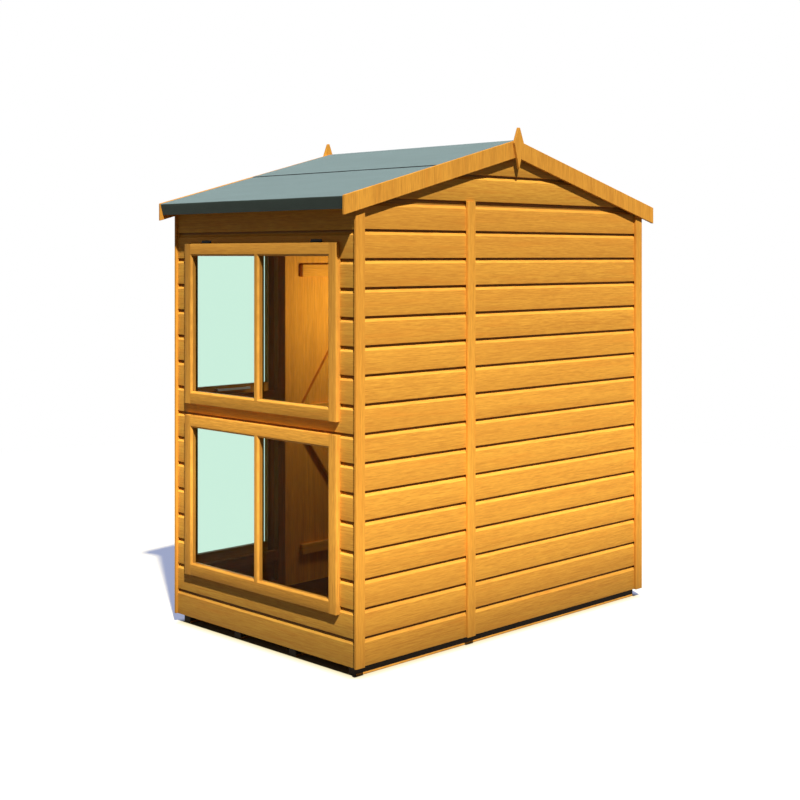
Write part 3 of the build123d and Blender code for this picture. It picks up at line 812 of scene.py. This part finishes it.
def facing(axis, sign, face):
    """A function that turns depth behind a wall's face, length along it and height into points. The wall is
    square to an axis, X or Y, and its face is that far out on the side of the sign."""

    def points(depth, along, height):
        out = sign * (face - depth)
        return np.stack([along, out, height] if axis else [out, along, height], axis=1)

    return points


def window_openings(node, axis):
    """The holes for a node's windows: their span along the wall and their heights, with a clearance."""
    gap = bpy.context.scene.shed_joinery.clearance
    return [
        ((lowest[axis] - gap, highest[axis] + gap), (lowest[2] - gap, highest[2] + gap))
        for lowest, highest in solids_of(node)
    ]


def end_panel(name, node, sign, openings=()):
    """One panel of an end wall: its boards, and over them the plain tongue that shows below the gable, with
    its bare groove painted dark as shade.
    """
    sizes = bpy.context.scene.shed_boards
    panel = Shells(name)
    across = (low(node)[0], high(node)[0])
    top = PLATE - sizes.rebate
    points = facing(1, sign, WALL_Y)
    shiplap(panel, points, across, (low(node)[2], top), sizes.gable_line, openings)
    depth = np.array([sizes.sink, sizes.sink, WALL_THICKNESS, WALL_THICKNESS])
    height = np.array([top, PLATE, PLATE, top])
    # The bare groove is painted with shade
    panel.add(lengthwise(points, depth, height, across), joint=[GROOVE_SHADE, 1, 0, 0])
    panel.piece(finish("end_wall_wood"), SHED, "wall_boards", node)


class SHED_OT_wall_boards(bpy.types.Operator):
    """Shiplap boards of the four walls"""

    bl_idname = "shed.wall_boards"
    bl_label = "Wall boards"

    def execute(self, context):
        line = context.scene.shed_boards.side_line
        for side, sign in SIDES:
            wall = Shells(f"{side}_wall_shiplap")
            openings = window_openings(f"{side}_window_frames", 1)
            heights = (BOARDS_FOOT, EAVES - EAVES_GAP)
            shiplap(wall, facing(0, sign, WALL_X), (-WALL_Y, WALL_Y), heights, line, openings)
            wall.piece(finish("side_wall_wood"), SHED, "wall_boards", f"{side}_wall_boards")
            openings = window_openings(f"front_{side}_window_frames", 0)
            end_panel(f"front_{side}_wall_shiplap", f"front_{side}_wall_boards", -1, openings)
        for name in ("wide", "narrow"):
            end_panel(f"back_{name}_shiplap", f"back_wall_{name}_boards", 1)
        end_panel("door_head_shiplap", "door_head_boards", -1)
        return {"FINISHED"}


class SHED_OT_gable_boards(bpy.types.Operator):
    """Shiplap boards of the two gable triangles"""

    bl_idname = "shed.gable_boards"
    bl_label = "Gable boards"

    def execute(self, context):
        sizes = context.scene.shed_boards
        slope = math.tan(context.scene.shed_roof.pitch)
        for side, sign in ENDS:
            gable = Shells(f"{side}_gable_shiplap")
            points = facing(1, sign, GABLE_Y)
            for bottom in np.arange(PLATE, RIDGE_UNDER, sizes.pitch):
                top = min(bottom + sizes.pitch, RIDGE_UNDER - MM)
                depth, height = section(bottom, (bottom, top), sizes).T
                half = np.minimum(INNER_X, (RIDGE_UNDER - height) / slope)
                rings = lengthwise(points, depth, height, (-half, half))
                # The deepest part of each groove is painted with shade
                gable.add(rings, joint=depth_in_joint(depth, sizes))
            gable.piece(finish("gable_wood"), SHED, "wall_boards", f"{side}_gable_boards")
        return {"FINISHED"}


# Windows
def member(width, depth, mouldings, sizes):
    """A window member's profile as points across, in depth and in the painted shade of the rebate: an eased
    outer edge, or beside the glass a chamfer, behind which the side is painted with shade."""
    ease, cut = sizes.ease, sizes.moulding
    inward, behind = CHAMFER
    outer = [(0, ease, 0), (ease * ROUNDED, ease * ROUNDED, 0), (ease, 0, 0)]
    glazed = [(0, cut + SAWN_EASE, EDGE_SHADE), (0, cut, 0), (cut * inward, cut * behind, 0), (cut, 0, 0)]
    left, right = (glazed if moulded else outer for moulded in mouldings)
    front = left + [(width - across, sunk, shaded) for across, sunk, shaded in right[::-1]]
    # Shade is painted on the sides behind the chamfer by the glass
    back = [(width, depth, SIDE_SHADE * mouldings[1]), (0, depth, SIDE_SHADE * mouldings[0])]
    return np.array([*front, *back]).T


def window_frame(shells, box, points, stile, bar_width, thickness):
    """Two stiles, two rails let into their chamfers and, where it has a width, a bar between the rails."""
    sizes = bpy.context.scene.shed_joinery
    (left, bottom), (right, top) = box
    cut = sizes.moulding
    short = thickness - RAIL_SET_BACK

    def upright(across, depth, shaded, ends):
        rings = [points(depth, across, np.full_like(depth, end)) for end in ends]
        shells.add(rings, upright=1, joint=shaded)

    across, depth, shaded = member(stile, thickness, (False, True), sizes)
    for edge, turn in ((left, 1), (right, -1)):
        upright(edge + turn * across, depth, shaded, (bottom, top))
    across, depth, shaded = member(sizes.rail, short, (False, True), sizes)
    ends = (left + stile - cut, right - stile + cut)
    for edge, turn in ((bottom, 1), (top, -1)):
        shells.add(lengthwise(points, depth, edge + turn * across, ends), joint=shaded)
    if bar_width:
        across, depth, shaded = member(bar_width, short, (True, True), sizes)
        middle = (left + right - bar_width) / 2
        upright(middle + across, depth, shaded, (bottom + sizes.rail - cut, top - sizes.rail + cut))


class SHED_OT_windows(bpy.types.Operator):
    """Moulded window frames in the side walls and beside the door"""

    bl_idname = "shed.windows"
    bl_label = "Windows"

    def execute(self, context):
        sizes = context.scene.shed_joinery
        for side, sign in SIDES:
            for wall, axis, outward, stile, bar_width in (
                (side, 0, sign, sizes.side_stile, sizes.bar),
                (f"front_{side}", 1, -1, sizes.front_stile, 0),
            ):
                frames = Shells(f"{wall}_windows")
                for lowest, highest in solids_of(f"{wall}_window_frames"):
                    points = facing(axis, outward, max(abs(lowest[axis]), abs(highest[axis])))
                    box = (lowest[[1 - axis, 2]], highest[[1 - axis, 2]])
                    window_frame(frames, box, points, stile, bar_width, highest[axis] - lowest[axis])
                frames.piece(finish("sash_wood"), SHED, "sash", f"{wall}_window_frames")
        return {"FINISHED"}


class SHED_OT_glass(bpy.types.Operator):
    """Glass of all the windows, the frame's own panes with a clear finish"""

    bl_idname = "shed.glass"
    bl_label = "Glass"

    def execute(self, context):
        for wall in ("right", "left", "front_right", "front_left"):
            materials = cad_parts[f"{wall}_window_glass"].data.materials
            materials.clear()
            materials.append(finish("pane"))
        return {"FINISHED"}


# Boards of the door, floor and roof
class SHED_OT_door(bpy.types.Operator):
    """Upright door boards, chamfered at their joints outside, and the ledges and braces behind them"""

    bl_idname = "shed.door"
    bl_label = "Door"

    def execute(self, context):
        sizes = context.scene.shed_boards
        lowest, highest = low("door_boards"), high("door_boards")
        width = (highest[0] - lowest[0]) / sizes.door_boards
        vee = sizes.door_vee
        front, back = lowest[1], highest[1]
        boards = Shells("door_tongue_boards")
        for index in range(sizes.door_boards):
            left = lowest[0] + index * width
            right = left + width - TONGUE_GAP
            chamfered = [(left, front + vee), (left + vee, front), (right - vee, front), (right, front + vee)]
            outline = np.array([*chamfered, (right, back), (left, back)])
            boards.add([laid(outline, z, 2) for z in (lowest[2], highest[2])], upright=1)
        boards.piece(finish("door_wood"), DOOR, "door_wood", "door_boards")
        ease = context.scene.shed_joinery.timber_ease
        eased_copy("door_bracing", "door_ledges_and_braces", finish("door_wood"), DOOR, 2 * ease)
        return {"FINISHED"}


class SHED_OT_floor(bpy.types.Operator):
    """Floor boards across the bearers"""

    bl_idname = "shed.floor"
    bl_label = "Floor"

    def execute(self, context):
        sizes = context.scene.shed_boards
        lowest, highest = low("floor"), high("floor")
        count = round((highest[0] - lowest[0]) / sizes.floor_board)
        edges = np.linspace(lowest[0], highest[0], count + 1)
        boards = Shells("floor_boarding")
        for left, right in zip(edges[:-1], edges[1:]):
            ends = (right - sizes.joint, *highest[1:])
            boards.add(bar((left, *lowest[1:]), ends, SAWN_EASE))
        boards.piece(finish("floor_wood"), SHED, "floor_boards", "floor")
        return {"FINISHED"}


def on_slope(run, cover):
    """Points in X and Z on the +X slope, by their distance down it from the ridge and their height square to
    it, both from the underside of the roof boards: the two turned by the pitch."""
    pitch = bpy.context.scene.shed_roof.pitch
    run, cover = np.broadcast_arrays(np.asarray(run, float), np.asarray(cover, float))
    x = run * math.cos(pitch) + cover * math.sin(pitch)
    z = RIDGE_UNDER - run * math.sin(pitch) + cover * math.cos(pitch)
    return np.stack([x, z], axis=-1)


def run_to(x, cover):
    """The distance down the slope at which a surface of that cover reaches X."""
    pitch = bpy.context.scene.shed_roof.pitch
    return (x - cover * math.sin(pitch)) / math.cos(pitch)


def eaves_run():
    """The distance down the slope of the felt's outer face at the eaves."""
    sizes = bpy.context.scene.shed_roof
    return run_to(EAVES_X, sizes.deck + sizes.felt)


class SHED_OT_roof_boards(bpy.types.Operator):
    """Roof boards along the ridge on both slopes, and the battens under their eaves"""

    bl_idname = "shed.roof_boards"
    bl_label = "Roof boards"

    def execute(self, context):
        sizes = context.scene.shed_boards
        roof = context.scene.shed_roof
        span = (low("right_roof_deck")[1], high("right_roof_deck")[1])
        reach = eaves_run() - roof.felt
        edges = np.linspace(0, reach, round(reach / sizes.roof_board) + 1)
        for side, sign in SIDES:
            boards = Shells(f"{side}_roof_boarding")
            for inner, outer in zip(edges[:-1], edges[1:]):
                run = np.array([inner, outer - sizes.joint, outer - sizes.joint, inner])
                outline = on_slope(run, np.array([0, 0, roof.deck, roof.deck])) * (sign, 1)
                boards.add(prism(outline, span, 1, SAWN_EASE))
            boards.piece(finish("inside_wood"), SHED, "roof_boards", f"{side}_roof_deck")
        look, ease = finish("framing_wood"), context.scene.shed_joinery.timber_ease
        eased_copy("eaves_battens", "eaves_batten_lengths", look, SHED, ease)
        return {"FINISHED"}


# Felt
def lower_line(sizes, upper):
    """Points down one slope from the sheet's upper edge, round the bend at the eaves and down square to the
    slope."""
    top = sizes.deck + sizes.felt
    eaves, bend = eaves_run(), sizes.bend
    turn = np.linspace(math.pi / 2, 0, BEND_POINTS)
    arc = on_slope(eaves - bend + bend * np.cos(turn), top - bend + bend * np.sin(turn))
    plane = on_slope(np.linspace(run_to(upper, top), eaves - bend, FELT_POINTS)[:-1], top)
    fall = on_slope(eaves, np.linspace(top - bend, top - sizes.skirt, SKIRT_POINTS + 1)[1:])
    return np.concatenate([plane, arc, fall])


def ridge_line(sizes, reach):
    """Points over both slopes, from one lower edge of the ridge sheet to the other, close together at the
    edges, where the lap is painted dark as shade."""
    top = sizes.deck + 2 * sizes.felt
    edge = run_to(reach, top)
    run = np.linspace(run_to(0, top), edge - LAP_LINE, RIDGE_POINTS)
    half = on_slope(np.append(run, [edge - 0.9 * LAP_LINE, edge]), top)
    return np.concatenate([half[:0:-1] * (-1, 1), half])


# Ripples of the felt: radians a metre along the ridge, radians across the sheet, and where they fade out
LONG_WAVE = 11.0
SHORT_WAVE = 23.0
CROSS_WAVE = 9.4
EDGE_FADE = 1 / 8
END_FADE = 0.06


def felt_shell(shells, line, thickness, span, sign, ripple, joint=None):
    """A sheet carried along the ridge: the line above, and the same line moved inwards below. Slow waves
    along the ridge lift it by up to the ripple, most in the middle of the sheet."""
    heading = unit(np.gradient(line, axis=0))
    normal = np.stack([-heading[:, 1], heading[:, 0]], axis=1)
    along = np.linspace(*span, RIDGE_SECTIONS)
    share = np.linspace(0, 1, len(line))
    wave = np.sin(along * LONG_WAVE)[:, None] * np.sin(share * CROSS_WAVE + 1.1)
    wave = wave + np.sin(along * SHORT_WAVE + 1.7)[:, None] * 0.5
    fade = np.clip(np.minimum(share, 1 - share) / EDGE_FADE, 0, 1)
    fade = fade * np.clip((span[1] - np.abs(along)) / END_FADE, 0, 1)[:, None]
    lift = -ripple * (0.5 + wave / 3) * fade
    upper = line[None] + lift[..., None] * normal
    under = upper - thickness * normal
    outline = np.concatenate([upper, under[:, ::-1]], axis=1)
    rings = np.empty((len(along), outline.shape[1], 3))
    rings[..., 0] = sign * outline[..., 0]
    rings[..., 1] = along[:, None]
    rings[..., 2] = outline[..., 1]
    shells.add(rings, joint=joint)


class SHED_OT_felt(bpy.types.Operator):
    """Felt on both slopes, folded down at the eaves, and the ridge sheet over them"""

    bl_idname = "shed.felt"
    bl_label = "Felt"

    def execute(self, context):
        sizes = context.scene.shed_roof
        span = (low("ridge_felt")[1], high("ridge_felt")[1])
        for side, sign in SIDES:
            node = f"{side}_lower_felt"
            upper = low(node)[0] if sign > 0 else -high(node)[0]
            sheet = Shells(f"{side}_felt_sheet")
            felt_shell(sheet, lower_line(sizes, upper), sizes.felt, span, sign, sizes.ripple)
            sheet.piece(finish("mineral_felt"), SHED, "felt", node)
        ridge = Shells("ridge_felt_sheet")
        line = ridge_line(sizes, high("ridge_felt")[0])
        # The two outer points on each edge of the ridge sheet are painted nearly black as shade at the lap
        lap = np.zeros(len(line))
        lap[[0, 1, -2, -1]] = 1
        felt_shell(ridge, line, sizes.felt, span, 1, sizes.ripple / 4, joint=np.concatenate([lap, lap]))
        ridge.piece(finish("mineral_felt"), SHED, "felt", "ridge_felt")
        return {"FINISHED"}


# Plain timbers and trim
class SHED_OT_framing(bpy.types.Operator):
    """Studs, rails, rafters and bearers with eased edges"""

    bl_idname = "shed.framing"
    bl_label = "Framing"

    def execute(self, context):
        ease = context.scene.shed_joinery.timber_ease
        nodes = [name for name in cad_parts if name.endswith("_frame")]
        for node in sorted(nodes):
            eased_copy(node, f"{node}_timbers", finish("framing_wood"), SHED, ease)
        eased_copy("bearers", "bearer_timbers", finish("bearer_wood"), SHED, 2 * ease)
        return {"FINISHED"}


class SHED_OT_trim(bpy.types.Operator):
    """Corner and cover strips, bargeboards and finials"""

    bl_idname = "shed.trim"
    bl_label = "Trim"

    def execute(self, context):
        ease = context.scene.shed_joinery.timber_ease
        timber = finish("strip_wood")
        for node in ("back_corner_strips", "front_corner_strips", "back_cover_strip"):
            eased_copy(node, f"{node}_planed", timber, SHED, ease)
        for side, _ in ENDS:
            for part, made in (("bargeboards", "barge_planks"), ("finial", "finial_board")):
                eased_copy(f"{side}_{part}", f"{side}_{made}", timber, SHED, ease, upright=1)
        eased_copy("turn_button", "door_turn_button", timber, SHED, 2 * ease)
        return {"FINISHED"}


class SHED_OT_ironwork(bpy.types.Operator):
    """Door hinges, handle, window hinges and stays"""

    bl_idname = "shed.ironwork"
    bl_label = "Ironwork"

    def execute(self, context):
        for node, name, body, look in (
            ("door_hinge_straps", "tee_hinge_straps", DOOR, "black_iron"),
            ("door_handle", "pull_handle", DOOR, "black_iron"),
            ("door_hinge_flaps", "tee_hinge_flaps", SHED, "black_iron"),
            ("window_hinges", "window_butt_hinges", SHED, "black_iron"),
            ("window_stays", "window_stay_bars", SHED, "bright_steel"),
        ):
            eased_copy(node, name, finish(look), body, SAWN_EASE)
        return {"FINISHED"}


# Stage: its tones, and how far from the middle of the floor it is dark, bluish and white
MATT_FLOOR = (0.58, 0.52, 0.34, 1)
FLOOR_GLOW = (0.31, 0.36, 0.55, 1)
SKY_TONE = (0.93, 0.96, 1.0, 1)
SUN_TONE = (1.0, 0.985, 0.955)
INNER_TONE = (1.0, 0.76, 0.58)
LAMP_RADIUS = 0.06
FLOOR_LINES = 9
FLOOR_DROP = 0.05 * MM
UNDER_X = 0.90
UNDER_Y = 0.56
UNDER_RAMP = 0.05
WHITE_FROM = 2.0
WHITE_RAMP = 4.0
SENSOR_WIDTH = 36
FAR_CLIP = 200


def seen_directly(sheet, *rays):
    """1 for these kinds of ray, and the node that tells them apart."""
    paths = sheet.add("ShaderNodeLightPath")
    kinds = [paths.out(f"Is {ray} Ray") for ray in rays]
    return sum(kinds[1:], kinds[0]).clamp(), paths


def floor_finish(settings):
    """A mid tone as it lights the shed. As it is seen, a matt floor that keeps the shadow, with a bluish glow
    beside the shed that fills it in, turning white further out and behind glass."""
    sheet = new_sheet("stage_floor")
    x, y, _ = sheet.parts(sheet.point())
    seen, paths = seen_directly(sheet, "Camera", "Glossy", "Transmission")
    beside = (abs(x).above(UNDER_X, UNDER_RAMP) + abs(y).above(UNDER_Y, UNDER_RAMP)).clamp()
    behind_glass = paths.out("Transparent Depth").clamp()
    far = (((x * x + y * y) ** 0.5).above(WHITE_FROM, WHITE_RAMP) + behind_glass).clamp()
    working = sheet.result("ShaderNodeBsdfDiffuse", {"Color": (*settings.floor_tone, 1)})
    matt = sheet.result("ShaderNodeBsdfDiffuse", {"Color": MATT_FLOOR})
    bluish = sheet.mix(beside, BLACK, FLOOR_GLOW)
    glow = sheet.result("ShaderNodeEmission", {"Color": bluish})
    near = sheet.result("ShaderNodeAddShader", {0: matt, 1: glow})
    white = sheet.result("ShaderNodeEmission", {"Color": WHITE})
    return sheet.show(sheet.blend(seen, working, sheet.blend(far, near, white)))


def stage_floor(settings):
    """A level square under the shed."""
    grid = np.linspace(-settings.floor_size, settings.floor_size, FLOOR_LINES)
    x, y = np.meshgrid(grid, grid)
    points = np.stack([x.ravel(), y.ravel(), np.full(x.size, -FLOOR_DROP)], axis=1)
    index = np.arange(x.size).reshape(x.shape)
    corners = [index[:-1, :-1], index[:-1, 1:], index[1:, 1:], index[1:, :-1]]
    mesh = bpy.data.meshes.new("stage_floor")
    mesh.from_pydata(points, [], np.stack(corners, axis=-1).reshape(-1, 4).tolist())
    mesh.materials.append(floor_finish(settings))
    floor = in_scene("stage_floor", mesh)


def stage_world(settings):
    """White behind the shed, and a weaker even light from all round."""
    world = bpy.data.worlds.new("stage_world")
    bpy.context.scene.world = world
    sheet = Sheet(world)
    seen, _ = seen_directly(sheet, "Camera", "Glossy")
    sky = {"Color": SKY_TONE, "Strength": settings.sky}
    light = sheet.result("ShaderNodeBackground", sky)
    white = sheet.result("ShaderNodeBackground", {"Color": WHITE})
    sheet.show(sheet.blend(seen, light, white), "ShaderNodeOutputWorld")


def stage_lamp(name, kind, power, tone):
    lamp = bpy.data.lights.new(name, kind)
    lamp.energy = power
    lamp.color = tone
    return in_scene(name, lamp)


def stage_sun(settings):
    """The main lamp, far away over the shed's back right corner."""
    sun = stage_lamp("stage_sun", "SUN", settings.sun, SUN_TONE)
    sun.data.angle = settings.softness
    sun.rotation_mode = "QUATERNION"
    sun.rotation_quaternion = Vector(settings.sun_from).to_track_quat("Z", "Y")


def stage_inner_lamp(settings):
    """A small lamp inside, for the door's back and the windows beside it alone, which show bright through the
    glass."""
    inner = stage_lamp("stage_inner_lamp", "POINT", settings.inner_lamp, INNER_TONE)
    inner.data.shadow_soft_size = LAMP_RADIUS
    inner.location = settings.inner_place
    inner.visible_camera = False
    inner.visible_glossy = False
    inner.visible_transmission = False
    lit = bpy.data.collections.new("lit_by_inner_lamp")
    for name in LIT_INSIDE:
        lit.objects.link(bpy.data.objects[name])
    inner.light_linking.receiver_collection = lit


def stage_camera(settings):
    """A level camera whose shifted lens frames the shed."""
    lens = bpy.data.cameras.new("stage_camera")
    lens.sensor_width = SENSOR_WIDTH
    lens.lens = settings.lens
    lens.shift_y = settings.shift
    lens.clip_end = FAR_CLIP
    camera = in_scene("stage_camera", lens)
    turned = Matrix.Rotation(settings.bearing, 4, "Z") @ Matrix.Rotation(math.pi / 2, 4, "X")
    camera.matrix_world = Matrix.Translation(settings.camera) @ turned
    bpy.context.scene.camera = camera


class SHED_OT_stage(bpy.types.Operator):
    """Floor, light and camera"""

    bl_idname = "shed.stage"
    bl_label = "Stage"

    def execute(self, context):
        settings = context.scene.shed_stage
        stage_floor(settings)
        stage_world(settings)
        stage_sun(settings)
        stage_inner_lamp(settings)
        stage_camera(settings)
        context.scene.view_settings.view_transform = "Standard"
        return {"FINISHED"}


GROUPS = {
    "shed_boards": ShedBoards,
    "shed_joinery": ShedJoinery,
    "shed_roof": ShedRoof,
    "shed_colours": ShedColours,
    "shed_stage": ShedStage,
}
OPERATORS = (
    SHED_OT_wall_boards,
    SHED_OT_gable_boards,
    SHED_OT_windows,
    SHED_OT_glass,
    SHED_OT_door,
    SHED_OT_floor,
    SHED_OT_roof_boards,
    SHED_OT_felt,
    SHED_OT_framing,
    SHED_OT_trim,
    SHED_OT_ironwork,
    SHED_OT_stage,
)


class SHED_PT_panel(bpy.types.Panel):
    """The shed's sizes, colours and building steps"""

    bl_label = "Shed"
    bl_space_type = "VIEW_3D"
    bl_region_type = "UI"
    bl_category = "Shed"

    def draw(self, context):
        for operator in OPERATORS:
            self.layout.operator(operator.bl_idname)
        for name, group in GROUPS.items():
            box = self.layout.box()
            for field in group.__annotations__:
                box.prop(getattr(context.scene, name), field)


def register():
    for group in GROUPS.values():
        bpy.utils.register_class(group)
    for name, group in GROUPS.items():
        setattr(bpy.types.Scene, name, PointerProperty(type=group))
    for operator in OPERATORS:
        bpy.utils.register_class(operator)
    bpy.utils.register_class(SHED_PT_panel)


def unregister():
    bpy.utils.unregister_class(SHED_PT_panel)
    for operator in OPERATORS:
        bpy.utils.unregister_class(operator)
    for name, group in GROUPS.items():
        delattr(bpy.types.Scene, name)
        bpy.utils.unregister_class(group)


def main():
    register()
    for operator in OPERATORS:
        family, name = operator.bl_idname.split(".")
        getattr(getattr(bpy.ops, family), name)()


if __name__ == "__main__":
    main()
